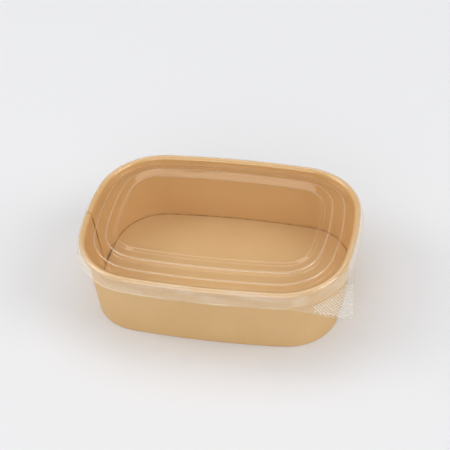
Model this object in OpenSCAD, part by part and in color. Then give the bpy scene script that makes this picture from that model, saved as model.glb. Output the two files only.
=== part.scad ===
// Takeaway food container: a rounded rectangular paper tub with a clear snap-over lid.
// Millimetres, +Z up. The foot stands on z = 0 and the closed container is centred on the origin.

/* [Tub] */
// Length over the rolled rim
rim_length = 172; // [150:1:190]
// Width over the rolled rim
rim_width = 123; // [108:1:140]
// Height of the paper tub, foot to rolled rim
tub_height = 51; // [35:1:80]
// Length of the foot
base_length = 155.6; // [140:0.2:162]
// Width of the foot
base_width = 107.2; // [98:0.2:113]
// Corner radius along the middle of the rolled rim
rim_corner_radius = 39.5; // [30:0.5:42]
// Corner radius of the foot
base_corner_radius = 31; // [24:0.5:36]
// Radius of the gentle bow in both ends
end_bow_radius = 180; // [150:5:300]
// Radius of the gentle bow in both long sides
side_bow_radius = 560; // [400:10:900]

/* [Board] */
// Thickness of the side wall's board
wall_board = 0.45; // [0.35:0.05:0.6]
// Thickness of the bottom panel's board
bottom_board = 0.45; // [0.35:0.05:0.6]
// Room for the sealing layer between two boards
glue_gap = 0.06; // [0.04:0.01:0.1]
// Width of the rolled rim
roll_width = 3.8; // [3:0.1:4.6]
// How far the board curls round in the rim, in degrees
roll_turn = 300; // [240:5:310]
// Height of the bottom panel's top face above the table
bottom_height = 6; // [4.5:0.1:9]

/* [Seam] */
// Where the inner edge of the glued lap lies, from the middle of the left end
seam_place = -3; // [-6:0.5:4]
// Width of the glued lap
seam_lap = 9; // [6:0.5:11]
// Length over which the wall steps back beyond the lap
seam_blend = 5; // [3:0.5:6]

/* [Lid] */
// Thickness of the clear sheet
lid_sheet = 0.35; // [0.25:0.05:0.5]
// Running clearance between the lid and the tub
lid_clearance = 0.3; // [0.25:0.05:0.6]
// Depth of the skirt below the top of the rolled rim
skirt_depth = 9; // [7:0.5:14]
// How far the skirt leans out on its way down
skirt_flare = 0.7; // [0.4:0.1:2]
// Width of the lip round the foot of the skirt
lip_width = 0.8; // [0.6:0.1:2]
// Depth of the channel inside the rim
channel_depth = 4.1; // [2:0.1:6]
// Width of the channel's floor
channel_width = 4.6; // [3:0.1:6]
// Lean of the channel's inner side
channel_lean = 0.6; // [0.4:0.1:2]
// Height of the ledge over the rolled rim
ledge_height = 0.1; // [-1:0.1:2]
// Width of the ledge inside the channel
ledge_width = 6.8; // [3:0.1:8]
// Height of the riser inside the ledge
riser_height = 2.6; // [1:0.1:4]
// Run of the riser
riser_run = 0.9; // [0.6:0.1:3]
// Width of the shallow groove inside the riser
groove_width = 6.1; // [3:0.1:8]
// How far the groove falls towards the middle
groove_drop = 0.65; // [0.2:0.05:1.5]
// Run of the step up to the middle panel
step_run = 2.1; // [1:0.1:4]
// Height of the step up to the middle panel
step_height = 0.8; // [0.4:0.1:2]
// How much nearer to the rim the step lies at both ends than at the long sides
step_end_reach = 1.5; // [0:0.1:3]
// Radius of the bends in the clear sheet
bend_radius = 0.8; // [0.5:0.1:1.2]

/* [Peel tab] */
// Angle at which the tab's end edge leaves the lip
tab_end_angle = 8.2; // [4:0.2:12]
// Angle at which the tab's front edge leaves the lip
tab_front_angle = 6; // [4:0.2:12]
// How far the tab's end edge is set in from the lip's corner arc
tab_end_inset = 0; // [0:0.2:2]
// How far the tab's front edge is set in from the lip's corner arc
tab_front_inset = 2.4; // [2:0.2:5]
// Corner radius of the tab
tab_corner_radius = 6; // [4:0.5:10]

/* [Hidden] */

// Number of straight steps in each stretch of an outline
end_steps = 3;
corner_steps = 11;
side_steps = 4;
tab_edge_steps = 5;
tab_corner_steps = 8;
bend_steps = 3;
roll_steps = 14;

// Small lengths that follow the board
seam_edge = wall_board / 4;
fold_bend = wall_board * 0.7;
lap_fade = 1.5;

roll_radius = roll_width / 2;
roll_centre = roll_radius - wall_board;
roll_level = tub_height - roll_radius;
slot = bottom_board + 2 * glue_gap;
panel_underside = bottom_height - bottom_board;

// An outline is [half length, half width, corner radius, end radius, side radius].
rim_line = [rim_length / 2 - roll_radius, rim_width / 2 - roll_radius, rim_corner_radius,
            end_bow_radius, side_bow_radius];
base_line = [base_length / 2, base_width / 2, base_corner_radius, end_bow_radius, side_bow_radius];
wall_top = spread(rim_line, -roll_centre);

// The same outline moved outwards by a distance.
function spread(line, out) = [for (v = line) v + out];
// Outline of the wall's outer face at height z. It leans up to the middle of the roll.
function wall_line(z) = let (t = min(z / roll_level, 1)) base_line * (1 - t) + wall_top * t;

// Centres of the end arc, the side arc and the corner arc that touches both, in the +X +Y quarter.
function end_centre(line) = [line[0] - line[3], 0];
function side_centre(line) = [0, line[1] - line[4]];
function corner_centre(line) =
    let (p = end_centre(line), q = side_centre(line), gap = norm(q - p), u = (q - p) / gap,
         dp = line[3] - line[2], dq = line[4] - line[2],
         along = (gap * gap + dp * dp - dq * dq) / (2 * gap))
    p + along * u + sqrt(dp * dp - along * along) * [-u[1], u[0]];

function unit(angle) = [cos(angle), sin(angle)];
function heading(v) = atan2(v[1], v[0]);
// Points along an arc, without its last one.
function arc(centre, radius, from, to, steps) =
    [for (i = [0:steps - 1]) centre + radius * unit(from + (to - from) * i / steps)];

// Angles of the left end's arc points. A list of Y places between them makes room for the seam.
function left_angles(line, reach, stops) =
    len(stops) == 0
    ? [for (i = [0:2 * end_steps - 1]) 180 - reach + 2 * reach * i / (2 * end_steps)]
    : let (marks = [for (y = stops) 180 - asin(y / line[3])], first = marks[0], last = marks[len(marks) - 1])
      concat([for (i = [0:end_steps - 1]) 180 - reach + (first - 180 + reach) * i / end_steps], marks,
             [for (i = [1:end_steps - 1]) last + (180 + reach - last) * i / end_steps]);

// The closed outline, counter-clockwise from the middle of the right end. turns lists extra angles at which
// the front right corner changes its step, as [angle, steps up to it].
function outline(line, turns, stops) =
    let (p = end_centre(line), q = side_centre(line), c = corner_centre(line), r = line[2],
         a1 = heading(c - p), a2 = heading(c - q))
    concat(arc(p, line[3], 0, a1, end_steps),
           arc(c, r, a1, a2, corner_steps),
           arc(q, line[4], a2, 180 - a2, 2 * side_steps),
           arc([-c[0], c[1]], r, 180 - a2, 180 - a1, corner_steps),
           [for (a = left_angles(line, a1, stops)) -p + line[3] * unit(a)],
           arc(-c, r, 180 + a1, 180 + a2, corner_steps),
           arc(-q, line[4], 180 + a2, 360 - a2, 2 * side_steps),
           len(turns) == 0
           ? arc([c[0], -c[1]], r, -a2, -a1, corner_steps)
           : [for (i = [0:len(turns)])
                  each arc([c[0], -c[1]], r, i == 0 ? -a2 : turns[i - 1][0], i == len(turns) ? -a1 : turns[i][0],
                           i == len(turns) ? tab_edge_steps : turns[i][1])],
           arc(p, line[3], -a1, 0, end_steps));

// A path's point moved sideways, to the left of its direction when the distance is positive.
function left_of(p, q) = let (d = (q - p) / norm(q - p)) [-d[1], d[0]];
function beside(path, k, distance) =
    k == 0 ? path[0] + distance * left_of(path[0], path[1])
    : k == len(path) - 1 ? path[k] + distance * left_of(path[k - 1], path[k])
    : let (m = left_of(path[k - 1], path[k]), n = left_of(path[k], path[k + 1]))
      path[k] + distance * (m + n) / (1 + m * n);

// A path whose inner corners are rounded with one radius.
function rounded(path, radius) =
    [for (k = [0:len(path) - 1])
        each k == 0 || k == len(path) - 1
        ? [path[k]]
        : let (u = (path[k - 1] - path[k]) / norm(path[k - 1] - path[k]),
               v = (path[k + 1] - path[k]) / norm(path[k + 1] - path[k]),
               half = acos(u * v) / 2,
               back = min(radius / tan(half), norm(path[k - 1] - path[k]) * 0.45,
                          norm(path[k + 1] - path[k]) * 0.45),
               start = path[k] + u * back,
               end = path[k] + v * back)
          [for (i = [0:bend_steps - 1])
              let (t = i / (bend_steps - 1))
              start * (1 - t) * (1 - t) + path[k] * 2 * t * (1 - t) + end * t * t]];

// One closed skin over a stack of rings. With wrap the last ring joins the first, else both ends close.
module skin(rings, wrap) {
    n = len(rings[0]);
    m = len(rings);
    sides = [for (j = [0:wrap ? m - 1 : m - 2], i = [0:n - 1])
        [j * n + i, ((j + 1) % m) * n + i, ((j + 1) % m) * n + (i + 1) % n, j * n + (i + 1) % n]];
    caps = wrap ? [] : [[for (i = [0:n - 1]) i], [for (i = [n - 1:-1:0]) (m - 1) * n + i]];
    polyhedron(points = [for (ring = rings, p = ring) p], faces = concat(sides, caps), convexity = 12);
}

// Side wall. The path runs from the tucked edge under the bottom panel, down round the foot, up the wall
// and round the rolled rim. X is measured outwards from the wall's outer face.
fold_path = [
    [-1.5 * wall_board - slot, panel_underside - glue_gap],
    [-1.5 * wall_board - slot, wall_board / 2 + fold_bend],
    [-1.5 * wall_board - slot + fold_bend, wall_board / 2],
    [-wall_board / 2 - fold_bend, wall_board / 2],
    [-wall_board / 2, wall_board / 2 + fold_bend]
];
lap_path = [
    [-wall_board / 2, bottom_height + glue_gap],
    [-wall_board / 2, bottom_height + lap_fade],
    [-wall_board / 2, tub_height - roll_width - lap_fade],
    [-wall_board / 2, tub_height - roll_width]
];
roll_path = [for (i = [0:roll_steps])
    [roll_centre, roll_level]
    + (roll_radius - wall_board / 2) * unit(180 - roll_turn * i / roll_steps)];
wall_path = concat(fold_path, lap_path, roll_path);

// The lap doubles the wall. Each stop is [Y, how far the inner face moves in, how far the outer face does].
seam_stops = [
    [seam_place + seam_lap + seam_blend, 0, 0],
    [seam_place + seam_lap + seam_edge, wall_board, wall_board],
    [seam_place + seam_lap, wall_board, 0],
    [seam_place + seam_edge, wall_board, 0],
    [seam_place, 0, 0]
];
stop_places = [for (s = seam_stops) s[0]];
function in_lap(k) = k == len(fold_path) + 1 || k == len(fold_path) + 2;

// One ring of the wall. face is 1 for the inner face and 2 for the outer face.
function wall_ring(k, face) =
    let (at = beside(wall_path, k, face == 1 ? wall_board / 2 : -wall_board / 2),
         flat = outline(spread(wall_line(at[1]), at[0]), [], stop_places),
         first = end_steps + corner_steps + 2 * side_steps + corner_steps + end_steps)
    [for (i = [0:len(flat) - 1])
        let (s = i - first, step = in_lap(k) && s >= 0 && s < len(seam_stops) ? seam_stops[s][face] : 0)
        [flat[i][0] + step, flat[i][1], at[1]]];

module side_wall() {
    last = len(wall_path) - 1;
    color("burlywood") translate([-frame_shift, 0, 0])
        skin(concat([for (k = [0:last]) wall_ring(k, 2)], [for (k = [last:-1:0]) wall_ring(k, 1)]), true);
}

// Bottom panel. Its rim turns down and stands in the fold of the side wall.
flange_out = -wall_board - glue_gap;
flange_foot = wall_board + fold_bend + glue_gap;
bottom_path = [
    [flange_out - bottom_board, panel_underside],
    [flange_out - bottom_board, flange_foot],
    [flange_out, flange_foot],
    [flange_out, bottom_height - bottom_board],
    [flange_out - bottom_board, bottom_height]
];

module bottom_panel() {
    color("tan") translate([-frame_shift, 0, 0])
        skin([for (p = bottom_path)
                  [for (q = outline(spread(wall_line(p[1]), p[0]), [], [])) [q[0], q[1], p[1]]]],
             false);
}

// Lid. The path is the sheet's underside from the middle panel out to the lip, measured outwards from the
// middle of the rolled rim.
function corner_reach(line) = corner_centre(line) + line[2] * unit(45);
wall_lean = max(wall_top[0] - base_line[0], wall_top[1] - base_line[1],
                (corner_reach(wall_top) - corner_reach(base_line)) * unit(45)) / roll_level;
seat_radius = roll_radius + lid_clearance;
plug_foot = -seat_radius - wall_lean * channel_depth;
channel_end = plug_foot - channel_width;
ledge_start = channel_end - channel_lean;
ledge_end = ledge_start - ledge_width;
groove_start = ledge_end - riser_run;
groove_end = groove_start - groove_width;
panel_edge = groove_end - step_run;
ledge_level = tub_height + ledge_height;
groove_level = ledge_level + riser_height - groove_drop;
panel_level = groove_level + step_height;
skirt_foot = tub_height - skirt_depth;

inner_path = [
    [panel_edge - step_run, panel_level],
    [panel_edge, panel_level],
    [groove_end, groove_level],
    [groove_start, ledge_level + riser_height],
    [ledge_end, ledge_level],
    [ledge_start, ledge_level],
    [channel_end, tub_height - channel_depth],
    [plug_foot, tub_height - channel_depth],
    [-seat_radius, roll_level]
];
// The panel's rings and the step's rings, which reach further at the ends.
step_rings = 1 + 2 * bend_steps;
seat_path = [for (a = [150:-30:30]) [0, roll_level] + seat_radius * unit(a)];
skirt_path = [
    [seat_radius, roll_level],
    [seat_radius + skirt_flare, skirt_foot],
    [seat_radius + skirt_flare + lip_width, skirt_foot]
];
lid_path = concat(rounded(inner_path, bend_radius), seat_path, rounded(skirt_path, bend_radius / 2));
lip_line = spread(rim_line, seat_radius + skirt_flare + lip_width);

// Peel tab: the lip grows out to two straight edges with a rounded corner between them. Both edges are
// measured from the centre of the lid's front right corner arc.
tab_centre = [corner_centre(lip_line)[0], -corner_centre(lip_line)[1]];
end_normal = unit(tab_end_angle);
front_normal = unit(-90 - tab_front_angle);
end_edge = lip_line[2] - tab_end_inset;
front_edge = lip_line[2] - tab_front_inset;
function cross_point(m, d, n, e) =
    let (det = m[0] * n[1] - m[1] * n[0]) [(d * n[1] - e * m[1]) / det, (m[0] * e - n[0] * d) / det];
tab_pivot = cross_point(end_normal, end_edge - tab_corner_radius, front_normal, front_edge - tab_corner_radius);
end_limit = heading(tab_pivot + tab_corner_radius * end_normal);
front_limit = heading(tab_pivot + tab_corner_radius * front_normal);
tab_turns = [[front_limit, tab_edge_steps], [end_limit, tab_corner_steps]];
function tab_reach(a) =
    a > end_limit ? end_edge / max(cos(a - tab_end_angle), 0.2)
    : a < front_limit ? front_edge / max(cos(a + 90 + tab_front_angle), 0.2)
    : let (s = tab_pivot * unit(a))
      s + sqrt(tab_corner_radius * tab_corner_radius - tab_pivot * tab_pivot + s * s);
function with_tab(p) =
    let (v = p - tab_centre, a = heading(v))
    p[0] > 0 && p[1] < 0 && a < 30 && a > -120 ? tab_centre + max(norm(v), tab_reach(a)) * unit(a) : p;
// The closed lid's middle lies off the tub's middle by half of what the tab stands out.
frame_shift = (tab_centre[0] + tab_pivot[0] + tab_corner_radius - lip_line[0]) / 2;

function lid_ring(k, up) =
    let (at = beside(lid_path, k, up),
         line = spread(rim_line, at[0]) + (k < step_rings ? step_end_reach : 0) * [1, 0, 0, 0, 0],
         flat = outline(line, tab_turns, []))
    [for (p = flat) let (q = k == len(lid_path) - 1 ? with_tab(p) : p) [q[0], q[1], at[1]]];

module lid() {
    last = len(lid_path) - 1;
    color([0.86, 0.9, 0.92, 0.35]) translate([-frame_shift, 0, 0])
        skin(concat([for (k = [0:last]) lid_ring(k, 0)], [for (k = [last:-1:0]) lid_ring(k, lid_sheet)]), false);
}

side_wall();
bottom_panel();
lid();
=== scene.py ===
# %% [markdown]
# # A takeaway tub with a clear lid
# The real object is three thin sheets. One strip of kraft board is wrapped round as the wall, a second
# sheet is glued in as the bottom, and a clear sheet, formed over a mould, snaps on as the lid.
# The construction is already there as a fixed frame, at its real size. This lesson models the same three
# sheets again, finer and with soft bends, gives them their finishes, and sets up the picture.
# The first cell loads the frame and keeps its box, because the dressed model must fill the same space.

# %% Load the frame
import math

import bmesh
import bpy
from mathutils import Matrix, Vector, noise


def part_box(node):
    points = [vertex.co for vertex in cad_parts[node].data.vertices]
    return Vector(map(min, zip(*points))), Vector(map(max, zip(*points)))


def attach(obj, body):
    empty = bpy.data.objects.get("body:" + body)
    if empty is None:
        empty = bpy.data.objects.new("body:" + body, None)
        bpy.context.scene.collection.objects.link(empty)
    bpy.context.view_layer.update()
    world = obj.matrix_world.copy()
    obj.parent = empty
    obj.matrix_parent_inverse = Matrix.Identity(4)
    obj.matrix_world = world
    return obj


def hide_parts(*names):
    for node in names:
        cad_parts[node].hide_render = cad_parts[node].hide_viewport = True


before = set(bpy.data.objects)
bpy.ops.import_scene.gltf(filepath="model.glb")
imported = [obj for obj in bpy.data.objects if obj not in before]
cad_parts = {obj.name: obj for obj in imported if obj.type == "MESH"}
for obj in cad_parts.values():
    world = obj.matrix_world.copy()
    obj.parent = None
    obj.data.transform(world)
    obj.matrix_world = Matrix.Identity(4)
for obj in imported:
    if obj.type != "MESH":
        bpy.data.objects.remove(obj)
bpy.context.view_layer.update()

# %% [markdown]
# ## Sizes
# The main sizes are measured on the frame, so the new pieces can't drift away from it. The small ones,
# such as the board and the steps of the lid, are written here in millimetres, which is how such a tub is
# drawn. They become metres only when a point is placed.

# %% Sizes of the tub
MM = 0.001
wall_low, wall_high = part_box("side_wall")
TUB_MIDDLE = (wall_low.x + wall_high.x) / 2 / MM
RIM_LENGTH = (wall_high.x - wall_low.x) / MM
RIM_WIDTH = (wall_high.y - wall_low.y) / MM
TUB_HEIGHT = wall_high.z / MM
BASE_LENGTH = 155.6
BASE_WIDTH = 107.2
RIM_CORNER = 39.5
BASE_CORNER = 31.0
END_BOW = 180.0
SIDE_BOW = 560.0
BOARD = 0.45
GLUE_GAP = 0.06
ROLL_WIDTH = 3.8
ROLL_TURN = 300.0
BOTTOM_HEIGHT = 6.0
print(f"rim {RIM_LENGTH:.1f} x {RIM_WIDTH:.1f} mm, tub {TUB_HEIGHT:.1f} mm high")
print(f"the tub's middle is at x {TUB_MIDDLE:.2f} mm")

# %% Sizes of the lid and its tab
LID_SHEET = 0.35
LID_CLEARANCE = 0.3
SKIRT_DEPTH = 9.0
SKIRT_FLARE = 0.7
LIP_WIDTH = 0.8
CHANNEL_DEPTH = 4.1
CHANNEL_WIDTH = 4.6
CHANNEL_LEAN = 0.6
LEDGE_HEIGHT = 0.1
LEDGE_WIDTH = 6.8
RISER_HEIGHT = 2.6
RISER_RUN = 0.9
GROOVE_WIDTH = 6.1
GROOVE_DROP = 0.65
STEP_RUN = 2.1
STEP_HEIGHT = 0.8
STEP_END_REACH = 1.5
BEND_RADIUS = 0.8
TAB_END_ANGLE = 8.2
TAB_FRONT_ANGLE = 6.0
TAB_FRONT_INSET = 2.4
TAB_CORNER = 6.0
print("the clear sheet is", LID_SHEET, "mm thick and lies", LID_CLEARANCE, "mm over the rolled rim")

# %% [markdown]
# ## The outline
# Seen from above, every edge of this tub is the same kind of curve: a rectangle with large round corners
# whose ends and sides bow out a little. It is three arcs that run smoothly into each other. Five numbers
# describe it, and adding one distance to all five gives the parallel curve at that distance, because the
# arcs keep their centres. So each sheet can be described by a flat section and this one outline.

# %% Draw the outline
END_STEPS = 6
CORNER_STEPS = 24
SIDE_STEPS = 12
TAB_EDGE_STEPS = 8
TAB_CORNER_STEPS = 14


def unit(degrees):
    return Vector((math.cos(math.radians(degrees)), math.sin(math.radians(degrees))))


def heading(way):
    return math.degrees(math.atan2(way.y, way.x))


def even(start, stop, steps):
    return [start + (stop - start) * i / steps for i in range(steps)]


def spread(line, out):
    """The same outline moved outwards by a distance."""
    return [value + out for value in line]


def corner_centre(line):
    """Centre of the corner arc that touches both the end arc and the side arc."""
    end = Vector((line[0] - line[3], 0))
    gap = Vector((0, line[1] - line[4])) - end
    way = gap.normalized()
    to_end = line[3] - line[2]
    to_side = line[4] - line[2]
    along = (gap.length_squared + to_end**2 - to_side**2) / (2 * gap.length)
    return end + along * way + math.sqrt(to_end**2 - along**2) * Vector((-way.y, way.x))


def outline(line, seam_places=(), tab_turns=()):
    """Points of the closed outline, counter-clockwise from the middle of the right end."""
    end = Vector((line[0] - line[3], 0))
    side = Vector((0, line[1] - line[4]))
    corner = corner_centre(line)
    first = heading(corner - end)
    second = heading(corner - side)
    marks = [180 - math.degrees(math.asin(y / line[3])) for y in seam_places] or [180]
    left = even(180 - first, marks[0], END_STEPS) + marks + even(marks[-1], 180 + first, END_STEPS)[1:]
    turns = [(-second, 0), *tab_turns, (-first, TAB_EDGE_STEPS if tab_turns else CORNER_STEPS)]
    front_right = [a for (p, _), (q, n) in zip(turns, turns[1:]) for a in even(p, q, n)]
    arcs = [
        (end, line[3], even(0, first, END_STEPS)),
        (corner, line[2], even(first, second, CORNER_STEPS)),
        (side, line[4], even(second, 180 - second, 2 * SIDE_STEPS)),
        (Vector((-corner.x, corner.y)), line[2], even(180 - second, 180 - first, CORNER_STEPS)),
        (-end, line[3], left),
        (-corner, line[2], even(180 + first, 180 + second, CORNER_STEPS)),
        (-side, line[4], even(180 + second, 360 - second, 2 * SIDE_STEPS)),
        (Vector((corner.x, -corner.y)), line[2], front_right),
        (end, line[3], even(-first, 0, END_STEPS)),
    ]
    return [centre + radius * unit(a) for centre, radius, angles in arcs for a in angles]


def place(point, height):
    """A flat point of the outline at its height in the frame, in metres."""
    return Vector((point.x + TUB_MIDDLE, point.y, height)) * MM


ROLL_RADIUS = ROLL_WIDTH / 2
ROLL_LEVEL = TUB_HEIGHT - ROLL_RADIUS
RIM_LINE = [RIM_LENGTH / 2 - ROLL_RADIUS, RIM_WIDTH / 2 - ROLL_RADIUS, RIM_CORNER, END_BOW, SIDE_BOW]
BASE_LINE = [BASE_LENGTH / 2, BASE_WIDTH / 2, BASE_CORNER, END_BOW, SIDE_BOW]
WALL_TOP = spread(RIM_LINE, BOARD - ROLL_RADIUS)
print("one ring round the tub has", len(outline(RIM_LINE)), "points")

# %% [markdown]
# ## Sections
# A section is a path in the plane that cuts the sheet: how far out, and how high. Two helpers are enough.
# One moves a path sideways by half the sheet, for its two faces. The other rounds the corners of a path,
# since neither board nor plastic folds to a sharp edge.

# %% Helpers for sections
BEND_STEPS = 5


def beside(path, k, distance):
    """The path's point k, moved to the left of the path's direction."""
    ways = [(b - a).normalized() for a, b in zip(path, path[1:])]
    before = ways[max(k - 1, 0)]
    after = ways[min(k, len(ways) - 1)]
    lefts = Vector((-before.y, before.x)), Vector((-after.y, after.x))
    return path[k] + distance * (lefts[0] + lefts[1]) / (1 + lefts[0].dot(lefts[1]))


def rounded(path, radius):
    """The path with its inner corners rounded to one radius."""
    made = [path[0]]
    for before, corner, after in zip(path, path[1:], path[2:]):
        back = before - corner
        on = after - corner
        half = back.angle(on) / 2
        cut = min(radius / math.tan(half), back.length * 0.45, on.length * 0.45)
        start = corner + back.normalized() * cut
        stop = corner + on.normalized() * cut
        for i in range(BEND_STEPS):
            t = i / (BEND_STEPS - 1)
            made.append(start * (1 - t) ** 2 + corner * 2 * t * (1 - t) + stop * t * t)
    return made + [path[-1]]


print("helpers ready: beside, rounded")

# %% [markdown]
# ## Sweeping a sheet
# By hand you would add a circle with no face, set its points on the outline, and then extrude that ring
# again and again along the section: down the wall, round the fold, over the rim. This helper does the same.
# Each point keeps the number of its place on the ring, and an extruded copy inherits it, so the new ring
# can be laid exactly on the next outline. A curve with a bevel profile would be quicker, but its section
# can't change round the tub, and here the wall leans more at the corners than at the sides.

# %% Helper that extrudes a ring along a section
def lay(piece, ring, number):
    """Put the selected ring of points in its place and remember which ring it is."""
    mesh = bmesh.from_edit_mesh(piece.data)
    place_layer = mesh.verts.layers.int.get("place")
    ring_layer = mesh.verts.layers.int.get("ring")
    for vertex in mesh.verts:
        if vertex.select:
            vertex.co = ring[vertex[place_layer]]
            vertex[ring_layer] = number
    bmesh.update_edit_mesh(piece.data)


def choose_ring(piece, number):
    """Select one ring of a piece in edit mode, and nothing else."""
    bpy.ops.mesh.select_all(action="DESELECT")
    mesh = bmesh.from_edit_mesh(piece.data)
    ring_layer = mesh.verts.layers.int.get("ring")
    for vertex in mesh.verts:
        vertex.select = vertex[ring_layer] == number
    mesh.select_flush(True)
    bmesh.update_edit_mesh(piece.data)


def sweep(name, rings, filled=()):
    """Extrude a ring through all its places. The rings named in filled get a flat face."""
    bpy.ops.object.select_all(action="DESELECT")
    bpy.ops.mesh.primitive_circle_add(vertices=len(rings[0]), fill_type="NOTHING")
    piece = bpy.context.object
    piece.name = piece.data.name = name
    bpy.ops.object.mode_set(mode="EDIT")
    mesh = bmesh.from_edit_mesh(piece.data)
    place_layer = mesh.verts.layers.int.new("place")
    mesh.verts.layers.int.new("ring")
    mesh.verts.ensure_lookup_table()
    for i, vertex in enumerate(mesh.verts):
        vertex[place_layer] = i
    bpy.ops.mesh.select_all(action="SELECT")
    for number, ring in enumerate(rings):
        if number > 0:
            bpy.ops.mesh.extrude_region_move()
        lay(piece, ring, number)
    for number in filled:
        choose_ring(piece, number)
        bpy.ops.mesh.edge_face_add()
    bpy.ops.mesh.select_all(action="SELECT")
    bpy.ops.mesh.remove_doubles(threshold=0.001 * MM)
    bpy.ops.mesh.normals_make_consistent(inside=False)
    bpy.ops.object.mode_set(mode="OBJECT")
    return piece


def zone(piece, first_ring, last_ring, slot):
    """Give the faces between two rings another of the piece's material slots."""
    rings = [value.value for value in piece.data.attributes["ring"].data]
    for face in piece.data.polygons:
        if all(first_ring <= rings[v] <= last_ring for v in face.vertices):
            face.material_index = slot


def apply_modifier(piece, kind, **settings):
    """Add a modifier to a piece, set it up and apply it."""
    modifier = piece.modifiers.new(kind.lower(), kind)
    for name, value in settings.items():
        setattr(modifier, name, value)
    bpy.context.view_layer.objects.active = piece
    bpy.ops.object.modifier_apply(modifier=modifier.name)


def soften(piece, degrees):
    """Shade smoothly, keep edges crisp past this angle, and keep the wide faces between the bends flat."""
    bpy.ops.object.select_all(action="DESELECT")
    piece.select_set(True)
    bpy.context.view_layer.objects.active = piece
    bpy.ops.object.shade_smooth_by_angle(angle=math.radians(degrees))
    apply_modifier(piece, "WEIGHTED_NORMAL", keep_sharp=True, weight=80)


print("helpers ready: sweep, zone, apply_modifier, soften")

# %% [markdown]
# ## The wall
# The wall is one strip of board. Its lower edge folds up inside to hold the bottom, its upper edge curls
# over and down into the rolled rim, and its two ends overlap in a glued lap at the left end. The section
# therefore starts at the tucked edge, runs down round the foot, up the wall and round the curl, and comes
# back along the other face. The last ring falls on the first, and merging them closes the solid.
# At the lap the inner face steps in by one board, and beyond it the sheet runs back to its own place.
# The inner face, which is also the one that shows on the rolled rim, gets a material slot of its own.

# %% Model the wall
SEAM_PLACE = -3.0
SEAM_LAP = 9.0
SEAM_BLEND = 5.0
SEAM_EDGE = BOARD / 4
LAP_FADE = 1.5
ROLL_STEPS = 26
FOLD_BEND = BOARD * 0.7
SLOT = BOARD + 2 * GLUE_GAP
ROLL_CENTRE = ROLL_RADIUS - BOARD
PANEL_UNDERSIDE = BOTTOM_HEIGHT - BOARD

fold_path = [
    Vector((-1.5 * BOARD - SLOT, PANEL_UNDERSIDE - GLUE_GAP)),
    Vector((-1.5 * BOARD - SLOT, BOARD / 2 + FOLD_BEND)),
    Vector((-1.5 * BOARD - SLOT + FOLD_BEND, BOARD / 2)),
    Vector((-BOARD / 2 - FOLD_BEND, BOARD / 2)),
    Vector((-BOARD / 2, BOARD / 2 + FOLD_BEND)),
]
lap_low = BOTTOM_HEIGHT + LAP_FADE
lap_high = TUB_HEIGHT - ROLL_WIDTH - LAP_FADE
WALL_STEPS = 10
lap_path = [Vector((-BOARD / 2, z)) for z in even(lap_low, lap_high, WALL_STEPS) + [lap_high]]
roll_path = [
    Vector((ROLL_CENTRE, ROLL_LEVEL)) + (ROLL_RADIUS - BOARD / 2) * unit(180 - ROLL_TURN * i / ROLL_STEPS)
    for i in range(ROLL_STEPS + 1)
]
wall_path = (
    fold_path
    + [Vector((-BOARD / 2, BOTTOM_HEIGHT + GLUE_GAP))]
    + lap_path
    + [Vector((-BOARD / 2, TUB_HEIGHT - ROLL_WIDTH))]
    + roll_path
)
# Each place across the lap, and how far the inner and the outer face step in there.
seam_stops = [
    (SEAM_PLACE + SEAM_LAP + SEAM_BLEND, 0, 0),
    (SEAM_PLACE + SEAM_LAP + SEAM_EDGE, BOARD, BOARD),
    (SEAM_PLACE + SEAM_LAP, BOARD, 0),
    (SEAM_PLACE + SEAM_EDGE, BOARD, 0),
    (SEAM_PLACE, 0, 0),
]
seam_places = [stop[0] for stop in seam_stops]
FIRST_STOP = END_STEPS + CORNER_STEPS + 2 * SIDE_STEPS + CORNER_STEPS + END_STEPS


def wall_line(height):
    """Outline of the wall's outer face. It leans out evenly up to the middle of the roll."""
    share = min(height / ROLL_LEVEL, 1)
    return [low + (high - low) * share for low, high in zip(BASE_LINE, WALL_TOP)]


def wall_ring(k, face):
    """One ring of the wall: face 1 is inside and face 2 is outside."""
    out, height = beside(wall_path, k, BOARD / 2 if face == 1 else -BOARD / 2)
    flat = outline(spread(wall_line(height), out), seam_places)
    in_lap = len(fold_path) < k < len(fold_path) + 1 + len(lap_path)
    for stop, depths in enumerate(seam_stops):
        if in_lap:
            flat[FIRST_STOP + stop].x += depths[face]
    return [place(point, height) for point in flat]


last = len(wall_path) - 1
wall_rings = [wall_ring(k, 2) for k in range(last + 1)] + [wall_ring(k, 1) for k in range(last, -1, -1)]
kraft_wall = sweep("kraft_wall", wall_rings + [wall_rings[0]])
INSIDE_SLOT = 1
zone(kraft_wall, last + 1, 2 * last + 2, INSIDE_SLOT)
soften(kraft_wall, 40)
print("kraft_wall:", len(kraft_wall.data.polygons), "faces")

# %% [markdown]
# ## The bottom
# The bottom is a flat sheet whose edge turns down and stands in the fold of the wall. The board bends over
# a small radius there, which leaves a fine dark groove all round the floor of the tub. The rings at both
# ends of the section are filled, one as the panel's underside and one as its top.

# %% Model the bottom panel
FLANGE_OUT = -BOARD - GLUE_GAP
FLANGE_FOOT = BOARD + FOLD_BEND + GLUE_GAP
BOTTOM_BEND = 0.75
bend_centre = Vector((FLANGE_OUT - BOTTOM_BEND, BOTTOM_HEIGHT - BOTTOM_BEND))
bottom_path = [
    Vector((FLANGE_OUT - BOTTOM_BEND, PANEL_UNDERSIDE)),
    Vector((FLANGE_OUT - BOARD, PANEL_UNDERSIDE - BOTTOM_BEND + BOARD)),
    Vector((FLANGE_OUT - BOARD, FLANGE_FOOT)),
    Vector((FLANGE_OUT, FLANGE_FOOT)),
] + [bend_centre + BOTTOM_BEND * unit(a) for a in range(0, 105, 15)]
bottom_rings = [
    [place(point, height) for point in outline(spread(wall_line(height), out))] for out, height in bottom_path
]
kraft_bottom = sweep("kraft_bottom", bottom_rings, filled=(0, len(bottom_rings) - 1))
soften(kraft_bottom, 40)
print("kraft_bottom:", len(kraft_bottom.data.polygons), "faces")

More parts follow.
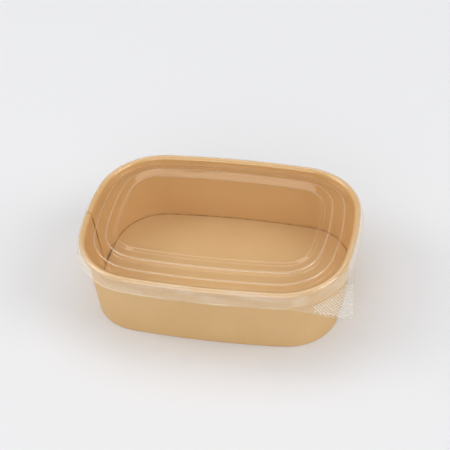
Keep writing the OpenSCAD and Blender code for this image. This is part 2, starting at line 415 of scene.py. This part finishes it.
# %% [markdown]
# ## The peel tab
# At the front right corner the lip of the lid grows into a tab to pull it off with. Two straight edges
# leave the lip almost along it and meet in a rounded corner. Seen from the centre of the corner arc, each
# direction has one distance to that edge, so the lip's last ring only has to be stretched to it. That is done
# in one sector of directions, and in the middle of it the tab stands out past the lip far enough to count.

# %% Work out the tab
SEAT_RADIUS = ROLL_RADIUS + LID_CLEARANCE
LIP_LINE = spread(RIM_LINE, SEAT_RADIUS + SKIRT_FLARE + LIP_WIDTH)
tab_centre = Vector((corner_centre(LIP_LINE).x, -corner_centre(LIP_LINE).y))
end_normal = unit(TAB_END_ANGLE)
front_normal = unit(-90 - TAB_FRONT_ANGLE)
end_edge = LIP_LINE[2]
front_edge = LIP_LINE[2] - TAB_FRONT_INSET
STRETCHED_SECTOR = (-120, 30)
TAB_SECTOR = (-90, 5)
TAB_STAND_OUT = 0.3
LEAST_COSINE = 0.2


def cross_point(m, d, n, e):
    """Where two straight edges meet, each given by its normal and its distance."""
    slope = m.x * n.y - m.y * n.x
    return Vector((d * n.y - e * m.y, m.x * e - n.x * d)) / slope


tab_pivot = cross_point(end_normal, end_edge - TAB_CORNER, front_normal, front_edge - TAB_CORNER)
end_limit = heading(tab_pivot + TAB_CORNER * end_normal)
front_limit = heading(tab_pivot + TAB_CORNER * front_normal)
tab_turns = ((front_limit, TAB_EDGE_STEPS), (end_limit, TAB_CORNER_STEPS))


def tab_reach(angle):
    """Distance from the corner's centre to the tab's edge in one direction."""
    if angle > end_limit:
        return end_edge / max(math.cos(math.radians(angle - TAB_END_ANGLE)), LEAST_COSINE)
    if angle < front_limit:
        return front_edge / max(math.cos(math.radians(angle + 90 + TAB_FRONT_ANGLE)), LEAST_COSINE)
    along = tab_pivot.dot(unit(angle))
    return along + math.sqrt(TAB_CORNER**2 - tab_pivot.length_squared + along**2)


def with_tab(point):
    """A point of the lip, moved out to the tab's edge where the tab reaches further."""
    way = point - tab_centre
    angle = heading(way)
    if point.x > 0 > point.y and STRETCHED_SECTOR[0] < angle < STRETCHED_SECTOR[1]:
        return tab_centre + max(way.length, tab_reach(angle)) * unit(angle)
    return point


def on_tab(point):
    """Whether the lip is stretched into the tab in a point's direction."""
    angle = heading(point - tab_centre)
    return TAB_SECTOR[0] < angle < TAB_SECTOR[1] and tab_reach(angle) > LIP_LINE[2] + TAB_STAND_OUT


print(f"the tab's corner lies {(tab_centre + tab_pivot).length + TAB_CORNER:.1f} mm from the tub's middle")

# %% [markdown]
# ## The lid
# The lid is one sheet with even thickness, so only its underside is swept, from the middle panel outwards:
# a step down into a shallow groove, the riser, the ledge, the channel that plugs into the tub, the seat over
# the rolled rim, the skirt and the lip. Solidify then gives it its thickness on the upper side.
# The skirt is drawn out thin when the sheet is formed, so it is a little hazy and not quite straight. It
# gets a small ripple, and a material slot of its own. So do the raised bends, which whiten a little when
# they are formed, the tab, and the lip, which shows as a pale line. The top has the first slot. The channel's
# outer side has to clear the wall, so it leans as much as the wall does where that leans most.

# %% Lay out the lid's section
LEAN_TOP = corner_centre(WALL_TOP) + WALL_TOP[2] * unit(45)
LEAN_FOOT = corner_centre(BASE_LINE) + BASE_LINE[2] * unit(45)
wall_lean = max(
    WALL_TOP[0] - BASE_LINE[0], WALL_TOP[1] - BASE_LINE[1], (LEAN_TOP - LEAN_FOOT).dot(unit(45))
) / ROLL_LEVEL
plug_foot = -SEAT_RADIUS - wall_lean * CHANNEL_DEPTH
channel_end = plug_foot - CHANNEL_WIDTH
ledge_start = channel_end - CHANNEL_LEAN
ledge_end = ledge_start - LEDGE_WIDTH
groove_start = ledge_end - RISER_RUN
groove_end = groove_start - GROOVE_WIDTH
panel_edge = groove_end - STEP_RUN
ledge_level = TUB_HEIGHT + LEDGE_HEIGHT
groove_level = ledge_level + RISER_HEIGHT - GROOVE_DROP
panel_level = groove_level + STEP_HEIGHT
skirt_foot = TUB_HEIGHT - SKIRT_DEPTH

inner_path = [
    Vector((panel_edge - STEP_RUN, panel_level)),
    Vector((panel_edge, panel_level)),
    Vector((groove_end, groove_level)),
    Vector((groove_start, ledge_level + RISER_HEIGHT)),
    Vector((ledge_end, ledge_level)),
    Vector((ledge_start, ledge_level)),
    Vector((channel_end, TUB_HEIGHT - CHANNEL_DEPTH)),
    Vector((plug_foot, TUB_HEIGHT - CHANNEL_DEPTH)),
    Vector((-SEAT_RADIUS, ROLL_LEVEL)),
]
seat_path = [Vector((0, ROLL_LEVEL)) + SEAT_RADIUS * unit(a) for a in range(170, 0, -10)]
skirt_path = [
    Vector((SEAT_RADIUS, ROLL_LEVEL)),
    Vector((SEAT_RADIUS + SKIRT_FLARE, skirt_foot)),
    Vector((SEAT_RADIUS + SKIRT_FLARE + LIP_WIDTH, skirt_foot)),
]
inner_rings = rounded(inner_path, BEND_RADIUS)
lid_path = inner_rings + seat_path + rounded(skirt_path, BEND_RADIUS / 2)
STEP_RINGS = 1 + 2 * BEND_STEPS
SKIRT_RING = len(inner_rings) + len(seat_path) // 2
LIP_RING = len(lid_path) - 2
# Of the rounded corners of the inner path: both sides of the step, the top of the riser, the ledge's edge.
RAISED_BENDS = (0, 1, 2, 4)
print("the lid's section has", len(lid_path), "points, and its panel lies at z", round(panel_level, 2), "mm")

# %% Model the lid
SKIRT_SLOT = 1
BEND_SLOT = 2
TAB_SLOT = 3
LIP_SLOT = 4
RIPPLE = 0.6
RIPPLE_LENGTH = 16.0


def ripple(point, height):
    """How far the thin skirt stands out of its true line. It is straight again at the lip."""
    share = min(max((ROLL_LEVEL - height) / (ROLL_LEVEL - skirt_foot), 0), 1)
    wave = noise.noise(Vector((point.x, point.y, 3 * height)) / RIPPLE_LENGTH)
    return RIPPLE * share * (1 - share) * wave


def lid_ring(k):
    """One ring of the underside. The step reaches further at the ends, and the last ring has the tab."""
    out, height = lid_path[k]
    line = spread(RIM_LINE, out)
    if k < STEP_RINGS:
        line[0] += STEP_END_REACH
    flat = outline(line, (), tab_turns)
    if out > 0:
        flat = [point + point.normalized() * ripple(point, height) for point in flat]
    if k == len(lid_path) - 1:
        flat = [with_tab(point) for point in flat]
    return [place(point, height) for point in flat]


clear_lid = sweep("clear_lid", [lid_ring(k) for k in range(len(lid_path))], filled=(0,))
panel_face = max(clear_lid.data.polygons, key=lambda face: face.area)
if panel_face.normal.z < 0:
    clear_lid.data.flip_normals()
zone(clear_lid, SKIRT_RING, LIP_RING, SKIRT_SLOT)
for corner in RAISED_BENDS:
    first = 1 + corner * BEND_STEPS
    zone(clear_lid, first, first + BEND_STEPS - 1, BEND_SLOT)
zone(clear_lid, LIP_RING, LIP_RING + 1, TAB_SLOT)
for face in clear_lid.data.polygons:
    spot = (face.center / MM - Vector((TUB_MIDDLE, 0, 0))).xy
    if face.material_index == TAB_SLOT and not on_tab(spot):
        face.material_index = LIP_SLOT
apply_modifier(clear_lid, "SOLIDIFY", thickness=LID_SHEET * MM, offset=1, use_even_offset=True)
soften(clear_lid, 50)
print("clear_lid:", len(clear_lid.data.polygons), "faces")

# %% [markdown]
# ## The grip on the tab
# The tab has a grip of small raised dots in a diagonal grid, clear of the lip and of its own edge. One dot
# is modelled as a low dome and copied wherever the grid meets the tab. A bump in the material would be
# lighter, but the dots catch the light one by one, and from close by they have a true height.
# The dome is half a sphere that is flattened. Resize works about the middle of what is selected, so the
# dome's foot rises a little above the level where the sphere was cut.

# %% Model one dot
DOT_RADIUS = 0.62
DOT_HEIGHT = 0.24

bpy.ops.object.select_all(action="DESELECT")
bpy.ops.mesh.primitive_uv_sphere_add(segments=10, ring_count=8, radius=DOT_RADIUS * MM)
dot = bpy.context.object
bpy.ops.object.mode_set(mode="EDIT")
bpy.ops.mesh.select_all(action="SELECT")
bpy.ops.mesh.bisect(plane_co=(0, 0, 0), plane_no=(0, 0, 1), clear_inner=True, use_fill=True)
bpy.ops.mesh.select_all(action="SELECT")
bpy.ops.transform.resize(value=(1, 1, DOT_HEIGHT / DOT_RADIUS))
bpy.ops.object.mode_set(mode="OBJECT")
print("one dot has", len(dot.data.polygons), "faces")

# %% Copy the dot over the tab
DOT_PITCH = 1.7
DOT_MARGIN = 1.3
DOT_SECTOR = (-58.0, -20.0)
CUT_DEPTH = 0.03
GRID_STEPS = 34
cut_level = skirt_foot + LID_SHEET - CUT_DEPTH

spots = []
for i in range(-GRID_STEPS, GRID_STEPS):
    for j in range(-GRID_STEPS, GRID_STEPS):
        way = DOT_PITCH * (i * unit(45) + j * unit(-45)) + tab_pivot
        past_lip = way.length > LIP_LINE[2] + DOT_MARGIN
        inside = way.length < tab_reach(heading(way)) - DOT_MARGIN
        if past_lip and inside and DOT_SECTOR[0] < heading(way) < DOT_SECTOR[1]:
            spots.append(tab_centre + way)
dots = []
for spot in spots:
    copy = dot.copy()
    copy.data = dot.data.copy()
    copy.data.transform(Matrix.Translation(place(spot, cut_level)))
    bpy.context.collection.objects.link(copy)
    dots.append(copy)
bpy.data.objects.remove(dot)
bpy.ops.object.select_all(action="DESELECT")
for copy in dots:
    copy.select_set(True)
bpy.context.view_layer.objects.active = dots[0]
bpy.ops.object.join()
tab_dots = bpy.context.object
tab_dots.name = tab_dots.data.name = "tab_dots"
soften(tab_dots, 50)
print("tab_dots:", len(spots), "dots")

# %% [markdown]
# ## Kraft board
# Kraft board is brown pulp with a thin clear coating. Close up it is a felt of short fibres, some lighter
# and some darker, and over a few centimetres its tone drifts. Three noises in the object's own coordinates
# give the drift, the flecks and the fibres, and a faint bump follows the fibres. The coating shows as a
# moderate roughness. The same function makes three finishes: the inner face of the wall and the bottom are
# painted a little lighter and warmer than the outer face, as painted light for the light that reaches them
# from all sides.

# %% Helpers for materials
def node(tree, kind, **sockets):
    """A new node with some of its inputs set."""
    made = tree.nodes.new(kind)
    for name, value in sockets.items():
        made.inputs[name.replace("_", " ")].default_value = value
    return made


def mixed(tree, factor, first, second):
    """A Mix node for colours. first and second are colours or the sockets that carry them."""
    mix = tree.nodes.new("ShaderNodeMix")
    mix.data_type = "RGBA"
    for socket, value in ((mix.inputs["Factor"], factor), (mix.inputs[6], first), (mix.inputs[7], second)):
        if isinstance(value, bpy.types.NodeSocket):
            tree.links.new(value, socket)
        else:
            socket.default_value = value
    return mix.outputs[2]


def ranged(tree, value, low, high, to_low, to_high):
    """Map one range of a socket's value to another."""
    mapped = node(tree, "ShaderNodeMapRange", From_Min=low, From_Max=high, To_Min=to_low, To_Max=to_high)
    tree.links.new(value, mapped.inputs["Value"])
    return mapped.outputs["Result"]


def calculate(tree, operation, first, second=0.0):
    """A Math node. Each input is a number or the socket that carries one."""
    made = tree.nodes.new("ShaderNodeMath")
    made.operation = operation
    for socket, value in zip(made.inputs, (first, second)):
        if isinstance(value, bpy.types.NodeSocket):
            tree.links.new(value, socket)
        else:
            socket.default_value = value
    return made.outputs["Value"]


def grain(tree, place_of, **settings):
    """A noise texture that is read at the given coordinates."""
    made = node(tree, "ShaderNodeTexNoise", **settings)
    tree.links.new(place_of, made.inputs["Vector"])
    return made.outputs["Fac"]


def stretched(tree, place_of, scale):
    """The coordinates scaled on each axis, which draws a pattern out or pushes it together."""
    stretch = tree.nodes.new("ShaderNodeMapping")
    stretch.inputs["Scale"].default_value = scale
    tree.links.new(place_of, stretch.inputs["Vector"])
    return stretch.outputs["Vector"]


def distance_from(tree, place_of, spot):
    """How far a point of the surface lies from one spot, which is given in millimetres."""
    away = tree.nodes.new("ShaderNodeVectorMath")
    away.operation = "DISTANCE"
    tree.links.new(place_of, away.inputs[0])
    away.inputs[1].default_value = spot * MM
    return away.outputs["Value"]


print("helpers ready: node, mixed, ranged, calculate, grain, stretched, distance_from")

# %% Make the kraft finishes
DRIFT_SCALE = 28.0
FLECK_SCALE = 420.0
FIBRE_SCALE = 1900.0
FIBRE_STRETCH = (1, 1.6, 0.5)


def kraft(name, tone, dark, pale):
    """Kraft board in one tone, with darker flecks, and a paler tone for its drift and its fibres."""
    material = bpy.data.materials.new(name)
    material.use_nodes = True
    tree = material.node_tree
    shader = tree.nodes["Principled BSDF"]
    shader.inputs["Roughness"].default_value = 0.58
    shader.inputs["Specular IOR Level"].default_value = 0.35
    place_of = tree.nodes.new("ShaderNodeTexCoord").outputs["Object"]
    along = stretched(tree, place_of, FIBRE_STRETCH)
    drift = grain(tree, place_of, Scale=DRIFT_SCALE, Detail=2.0, Roughness=0.5)
    flecks = grain(tree, along, Scale=FLECK_SCALE, Detail=3.0, Roughness=0.6)
    fibres = grain(tree, along, Scale=FIBRE_SCALE, Detail=2.0, Roughness=0.7, Distortion=1.2)
    drifting = mixed(tree, ranged(tree, drift, 0.35, 0.65, 0.0, 0.5), tone, pale)
    flecked = mixed(tree, ranged(tree, flecks, 0.58, 0.8, 0.0, 0.22), drifting, dark)
    fibred = mixed(tree, ranged(tree, fibres, 0.55, 0.8, 0.0, 0.25), flecked, pale)
    tree.links.new(fibred, shader.inputs["Base Color"])
    bump = node(tree, "ShaderNodeBump", Strength=0.12, Distance=0.2 * MM)
    tree.links.new(fibres, bump.inputs["Height"])
    tree.links.new(bump.outputs["Normal"], shader.inputs["Normal"])
    return material


KRAFT = (0.68, 0.435, 0.195, 1)
KRAFT_DARK = (0.49, 0.285, 0.11, 1)
KRAFT_PALE = (0.73, 0.485, 0.235, 1)
# Painted light: the inside and bottom tones are a little lighter and warmer than the outside, for the light
# that reaches them from all sides.
INSIDE_LIT = (0.72, 0.45, 0.19, 1)
INSIDE_LIT_DARK = (0.58, 0.33, 0.12, 1)
INSIDE_LIT_PALE = (0.76, 0.50, 0.23, 1)
BOTTOM_LIT = (0.71, 0.46, 0.21, 1)
BOTTOM_LIT_PALE = (0.76, 0.51, 0.25, 1)
outside_finish = kraft("kraft_outside_finish", KRAFT, KRAFT_DARK, KRAFT_PALE)
lit_inside_finish = kraft("kraft_lit_inside_finish", INSIDE_LIT, INSIDE_LIT_DARK, INSIDE_LIT_PALE)
lit_bottom_finish = kraft("kraft_lit_bottom_finish", BOTTOM_LIT, KRAFT_DARK, BOTTOM_LIT_PALE)
print("kraft finishes:", outside_finish.name, lit_inside_finish.name, lit_bottom_finish.name)

# %% [markdown]
# ## The seam
# Where the strip's end shows, inside the left end, the cut board is bare pulp, darker than the coated face,
# and the step of the lap throws a thin shade. Both are painted as one thin dark line, partly the edge's own
# colour and partly painted shade, that grows clearer up to the rim and goes on over the roll. A mask in the
# object's own coordinates marks that line on the inner face: near the seam, at the left end, and rising.

# %% Draw the seam
SEAM_LINE = 0.36
SEAM_LINE_PLACE = SEAM_PLACE - 0.1
# The seam line is partly the cut edge's own dark pulp and partly painted shade of the lap's step.
SEAM_EDGE_AND_SHADE_TONE = (0.20, 0.10, 0.03, 1)
SEAM_STRENGTH = 0.85
SEAM_FADE = (BOTTOM_HEIGHT + 8, BOTTOM_HEIGHT + 26)
SEAM_FOOT_SHARE = 0.15


def draw_line(tree, mask, tone):
    """Lay one more tone over the base colour, as strong as the mask says."""
    base = tree.nodes["Principled BSDF"].inputs["Base Color"]
    tree.links.new(mixed(tree, mask, base.links[0].from_socket, tone), base)


tree = lit_inside_finish.node_tree
parts = tree.nodes.new("ShaderNodeSeparateXYZ")
place_of = tree.nodes.new("ShaderNodeTexCoord").outputs["Object"]
tree.links.new(place_of, parts.inputs["Vector"])
across_seam = calculate(tree, "SUBTRACT", parts.outputs["Y"], SEAM_LINE_PLACE * MM)
beside_seam = calculate(tree, "ABSOLUTE", across_seam)
near_seam = ranged(tree, beside_seam, SEAM_LINE / 2 * MM, SEAM_LINE * MM, SEAM_STRENGTH, 0.0)
at_left = calculate(tree, "LESS_THAN", parts.outputs["X"], (TUB_MIDDLE - BASE_LENGTH / 4) * MM)
rising = ranged(tree, parts.outputs["Z"], SEAM_FADE[0] * MM, SEAM_FADE[1] * MM, SEAM_FOOT_SHARE, 1.0)
seam_edge_and_shade_mask = calculate(tree, "MULTIPLY", calculate(tree, "MULTIPLY", near_seam, at_left), rising)
draw_line(tree, seam_edge_and_shade_mask, SEAM_EDGE_AND_SHADE_TONE)
print("seam line at y", round(SEAM_LINE_PLACE, 2), "mm inside the left end")

# %% [markdown]
# ## The shade along the floor
# Another line runs round the floor, where the wall meets the bottom. It is painted shade, and it comes
# and goes with a noise. At the left end, by the lap, where two sheets lie together, the painted shade is
# darker and ragged.

# %% Paint the shade along the floor
FLOOR_SHADE_TOP = BOTTOM_HEIGHT + 0.7
# Painted shade where the wall meets the floor.
FLOOR_SHADE_TONE = (0.44, 0.25, 0.075, 1)
SHADE_BREAKUP_SCALE = 260.0
shade_breakup = grain(tree, place_of, Scale=SHADE_BREAKUP_SCALE, Detail=1.0)
uneven = ranged(tree, shade_breakup, 0.38, 0.62, 0.2, 0.95)
near_floor = ranged(tree, parts.outputs["Z"], BOTTOM_HEIGHT * MM, FLOOR_SHADE_TOP * MM, 1.0, 0.0)
draw_line(tree, calculate(tree, "MULTIPLY", near_floor, uneven), FLOOR_SHADE_TONE)
print("crease up to z", FLOOR_SHADE_TOP, "mm")

# %% Paint the ragged shade by the lap
# Painted shade: a darker, ragged patch low on the wall by the lap.
CORNER_SHADE_PLACE = Vector((-80.3, 6.0, BOTTOM_HEIGHT))
CORNER_SHADE_REACH = (8.0, 13.0)
CORNER_SHADE_TOP = BOTTOM_HEIGHT + 4.5
CORNER_SHADE_TONE = (0.20, 0.11, 0.02, 1)
RAGGED_SHADE_SCALE = 480.0
away = distance_from(tree, place_of, CORNER_SHADE_PLACE)
near_corner_shade = ranged(tree, away, CORNER_SHADE_REACH[0] * MM, CORNER_SHADE_REACH[1] * MM, 1.0, 0.0)
ragged_shade = ranged(tree, grain(tree, place_of, Scale=RAGGED_SHADE_SCALE, Detail=0.0), 0.40, 0.55, 0.0, 1.0)
low_wall = ranged(tree, parts.outputs["Z"], BOTTOM_HEIGHT * MM, CORNER_SHADE_TOP * MM, 1.0, 0.0)
corner_shade_mask = calculate(tree, "MULTIPLY", calculate(tree, "MULTIPLY", near_corner_shade, ragged_shade), low_wall)
draw_line(tree, corner_shade_mask, CORNER_SHADE_TONE)
print("pleats up to z", CORNER_SHADE_TOP, "mm by the lap")

# %% [markdown]
# ## Clear plastic
# A sheet a third of a millimetre thick hardly bends what is seen through it. So each of its faces is made
# as a film: mostly transparent, with a share that mirrors. On the top the share is 4 percent when looked at
# squarely, and it grows with the fifth power of the slant. Lamps shine through such a film too, so the tub
# stays bright inside. The mirror is a little warm, as everything is that shines over kraft board.
# A haze on top stands for what the forming and cutting do to the sheet: nearly none on the top, a little at
# the bends and on the tab, patches on the drawn skirt, and more on the lip and on the dots of the grip. A
# slow ripple in the mirror breaks up the reflections, since a formed sheet is never quite flat.

# %% Make the clear finishes
MIRROR_TINT = (1.0, 0.91, 0.80, 1)
FILM_TINT = (0.997, 0.998, 0.997, 1)
SLANTED_SHARE = 0.7
RIPPLE_SCALE = 70.0
PATCH_SCALE = 45.0
PATCH_STRETCH = (1, 1, 5)


def clear_sheet(name, haze, tone, mirror_share, roughness):
    """haze is one share, or a low and a high one that come in patches. tone is the haze's colour."""
    material = bpy.data.materials.new(name)
    material.use_nodes = True
    tree = material.node_tree
    hazy = tree.nodes["Principled BSDF"]
    hazy.inputs["Base Color"].default_value = (*tone, 1)
    hazy.inputs["Roughness"].default_value = 0.4
    place_of = tree.nodes.new("ShaderNodeTexCoord").outputs["Object"]
    wavy = node(tree, "ShaderNodeBump", Strength=0.12, Distance=0.6 * MM)
    tree.links.new(grain(tree, place_of, Scale=RIPPLE_SCALE, Detail=1.0), wavy.inputs["Height"])
    mirror = node(tree, "ShaderNodeBsdfAnisotropic", Color=MIRROR_TINT, Roughness=roughness)
    tree.links.new(wavy.outputs["Normal"], mirror.inputs["Normal"])
    film = node(tree, "ShaderNodeBsdfTransparent", Color=FILM_TINT)
    slant = node(tree, "ShaderNodeLayerWeight", Blend=0.5)
    steep = calculate(tree, "POWER", slant.outputs["Facing"], 5.0)
    sheet = tree.nodes.new("ShaderNodeMixShader")
    tree.links.new(ranged(tree, steep, 0.0, 1.0, mirror_share, SLANTED_SHARE), sheet.inputs[0])
    tree.links.new(film.outputs["BSDF"], sheet.inputs[1])
    tree.links.new(mirror.outputs["BSDF"], sheet.inputs[2])
    whole = tree.nodes.new("ShaderNodeMixShader")
    if isinstance(haze, tuple):
        patches = grain(tree, stretched(tree, place_of, PATCH_STRETCH), Scale=PATCH_SCALE, Detail=2.0)
        tree.links.new(ranged(tree, patches, 0.42, 0.72, *haze), whole.inputs[0])
    else:
        whole.inputs[0].default_value = haze
    tree.links.new(sheet.outputs["Shader"], whole.inputs[1])
    tree.links.new(hazy.outputs["BSDF"], whole.inputs[2])
    tree.links.new(whole.outputs["Shader"], tree.nodes["Material Output"].inputs["Surface"])
    return material


PALE_HAZE = (0.90, 0.88, 0.84)
WARM_HAZE = (0.98, 0.90, 0.76)
top_finish = clear_sheet("clear_top_finish", 0.002, PALE_HAZE, 0.04, 0.04)
skirt_finish = clear_sheet("clear_skirt_finish", (0.06, 0.20), WARM_HAZE, 0.05, 0.10)
bend_finish = clear_sheet("clear_bend_finish", 0.06, WARM_HAZE, 0.07, 0.14)
tab_finish = clear_sheet("clear_tab_finish", 0.07, PALE_HAZE, 0.05, 0.10)
lip_finish = clear_sheet("clear_lip_finish", (0.10, 0.50), WARM_HAZE, 0.06, 0.10)
dot_finish = clear_sheet("clear_dot_finish", 0.42, PALE_HAZE, 0.08, 0.12)
lid_finishes = (top_finish, skirt_finish, bend_finish, tab_finish, lip_finish)
print("clear finishes:", [finish.name for finish in (*lid_finishes, dot_finish)])

# %% [markdown]
# ## A painted highlight at the root of the tab
# The skirt over the root of the tab shows a bright highlight, and it is painted in: the haze of the skirt
# is raised near that spot, in the same streaks as its patches.

# %% Paint a highlight at the root of the tab
# Painted highlight: a pale patch of haze on the skirt where it shows a bright highlight.
TAB_GLINT_PLACE = Vector((57.4, -57.0, TUB_HEIGHT - 4))
TAB_GLINT_REACH = (2.0, 9.0)
TAB_GLINT_HAZE = 0.85
tree = skirt_finish.node_tree
haze_share = tree.nodes["Material Output"].inputs["Surface"].links[0].from_node.inputs[0]
patchy = haze_share.links[0].from_socket
place_of = tree.nodes.new("ShaderNodeTexCoord").outputs["Object"]
away = distance_from(tree, place_of, TAB_GLINT_PLACE)
painted_glint = ranged(tree, away, TAB_GLINT_REACH[0] * MM, TAB_GLINT_REACH[1] * MM, TAB_GLINT_HAZE, 0.0)
streaked = calculate(tree, "MULTIPLY", painted_glint, ranged(tree, patchy, 0.08, 0.15, 0.2, 1.0))
tree.links.new(calculate(tree, "MAXIMUM", patchy, streaked), haze_share)
print("whitened within", TAB_GLINT_REACH[1], "mm of the root of the tab")

# %% [markdown]
# ## Dressing the frame
# Each new piece rides on the body that carries it, stands for its node of the frame, and names the slot of
# the record that it takes its finish from. The dots belong to the lid.

# %% Dress the frame
DRESS = (
    (kraft_wall, "tub", "side_wall", "kraft_wall", (outside_finish, lit_inside_finish)),
    (kraft_bottom, "tub", "bottom_panel", "kraft_bottom", (lit_bottom_finish,)),
    (clear_lid, "lid", "lid", "clear_lid", lid_finishes),
    (tab_dots, "lid", None, "clear_lid", (dot_finish,)),
)
for piece, body, stands_for, slot_name, finishes in DRESS:
    for finish in finishes:
        piece.data.materials.append(finish)
    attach(piece, body)
    if stands_for:
        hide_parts(stands_for)
    print(piece.name, "rides on", body)

# %% [markdown]
# ## Floor and light
# The tub stands on a plain pale table in soft studio light. The camera sees a pale wall behind it, and the
# lid mirrors that wall with a dark ceiling over it. A wide strip hangs high behind the tub. The flat top of
# the lid mirrors the dark part below the strip, so it stays clear, but its bends and the far side of its
# groove mirror the strip, as fine bright lines and a pale band. A softbox in front and one on each side light
# the walls, outside and inside. The paper and the table also get an even fill from all round.

# %% Lay the table
TABLE_SIZE = 8
TABLE_TONE = (0.77, 0.77, 0.78, 1)
bpy.ops.object.select_all(action="DESELECT")
bpy.ops.mesh.primitive_plane_add(size=TABLE_SIZE)
table = bpy.context.object
table.name = "table"
table_finish = bpy.data.materials.new("table_finish")
table_finish.use_nodes = True
table_shader = table_finish.node_tree.nodes["Principled BSDF"]
table_shader.inputs["Base Color"].default_value = TABLE_TONE
table_shader.inputs["Roughness"].default_value = 0.7
table_shader.inputs["Specular IOR Level"].default_value = 0.2
table.data.materials.append(table_finish)
print("the table is", TABLE_SIZE, "m wide")

# %% Build the studio round it
SKY_LIGHT = 0.40
SKY_TONE = (0.97, 0.98, 1.0, 1)
WALL_TONE = (0.80, 0.81, 0.83, 1)
CEILING_TONE = (0.10, 0.10, 0.11, 1)
WALL_HEIGHT = (0.15, 0.50)
world = bpy.data.worlds.new("studio")
bpy.context.scene.world = world
world.use_nodes = True
sky = world.node_tree
lighting = sky.nodes["Background"]
lighting.inputs["Color"].default_value = SKY_TONE
lighting.inputs["Strength"].default_value = SKY_LIGHT
studio = sky.nodes.new("ShaderNodeBackground")
way_up = sky.nodes.new("ShaderNodeSeparateXYZ")
sky.links.new(sky.nodes.new("ShaderNodeTexCoord").outputs["Generated"], way_up.inputs["Vector"])
rise_share = ranged(sky, way_up.outputs["Z"], WALL_HEIGHT[0], WALL_HEIGHT[1], 0.0, 1.0)
rays = sky.nodes.new("ShaderNodeLightPath")
dark_share = calculate(sky, "MULTIPLY", rise_share, rays.outputs["Is Glossy Ray"])
sky.links.new(mixed(sky, dark_share, WALL_TONE, CEILING_TONE), studio.inputs["Color"])
seen_ray = calculate(sky, "MAXIMUM", rays.outputs["Is Camera Ray"], rays.outputs["Is Glossy Ray"])
switch = sky.nodes.new("ShaderNodeMixShader")
sky.links.new(seen_ray, switch.inputs[0])
sky.links.new(lighting.outputs[0], switch.inputs[1])
sky.links.new(studio.outputs[0], switch.inputs[2])
sky.links.new(switch.outputs[0], sky.nodes["World Output"].inputs["Surface"])
print("world:", world.name)

# %% Hang the lamps
LAMPS_AIM = Vector((0, 0, 0.05))


def soft_lamp(name, spot, width, height, watts):
    """A rectangular area lamp that faces the tub."""
    bpy.ops.object.light_add(type="AREA", location=spot)
    lamp = bpy.context.object
    lamp.name = name
    lamp.data.shape = "RECTANGLE"
    lamp.data.size = width
    lamp.data.size_y = height
    lamp.data.energy = watts
    lamp.rotation_euler = (LAMPS_AIM - Vector(spot)).to_track_quat("-Z", "Y").to_euler()


soft_lamp("strip_behind", (-0.12, 0.60, 1.42), 1.6, 0.86, 6.6)
soft_lamp("softbox_front", (0.0, -1.9, 1.2), 2.0, 1.5, 15.2)
soft_lamp("softbox_left", (-1.8, -0.2, 1.45), 1.3, 1.3, 17.0)
soft_lamp("softbox_right", (1.8, -0.2, 1.45), 1.3, 1.3, 19.0)

# %% [markdown]
# ## Camera
# The photo was taken with a long lens from a little to the right, looking down by 42 degrees, and slightly
# turned. The angles and the distance were found by matching the rim, the foot and the floor of the tub.
# A ray that slants through the channel of the lid passes up to eight faces, and the light it looks for has
# to pass them too. So a ray may go through more transparent faces than the usual eight.

# %% Set up the camera
AZIMUTH = math.radians(15.04)
ELEVATION = math.radians(41.91)
ROLL = math.radians(-4.60)
DISTANCE = 1.05112
SENSOR = 36.0
FRAME_PIXELS = 450
FOCAL_PIXELS = 1648.35
TRANSPARENT_FACES = 24
TARGET = Vector((TUB_MIDDLE - 2.617, 21.345, 28.872)) * MM

back = Vector(
    (math.sin(AZIMUTH) * math.cos(ELEVATION), -math.cos(AZIMUTH) * math.cos(ELEVATION), math.sin(ELEVATION))
)
level = Vector((math.cos(AZIMUTH), math.sin(AZIMUTH), 0))
rise = back.cross(level)
right = level * math.cos(ROLL) + rise * math.sin(ROLL)
up = rise * math.cos(ROLL) - level * math.sin(ROLL)
bpy.ops.object.camera_add()
camera = bpy.context.object
camera.data.sensor_width = SENSOR
camera.data.lens = FOCAL_PIXELS * SENSOR / FRAME_PIXELS
camera.data.clip_start = 0.05
camera.data.clip_end = 50
turn = Matrix((right, up, back)).transposed()
camera.matrix_world = Matrix.Translation(TARGET + back * DISTANCE) @ turn.to_4x4()
bpy.context.scene.camera = camera
bpy.context.scene.view_settings.view_transform = "Standard"
bpy.context.scene.cycles.transparent_max_bounces = TRANSPARENT_FACES
print(f"lens {camera.data.lens:.1f} mm")
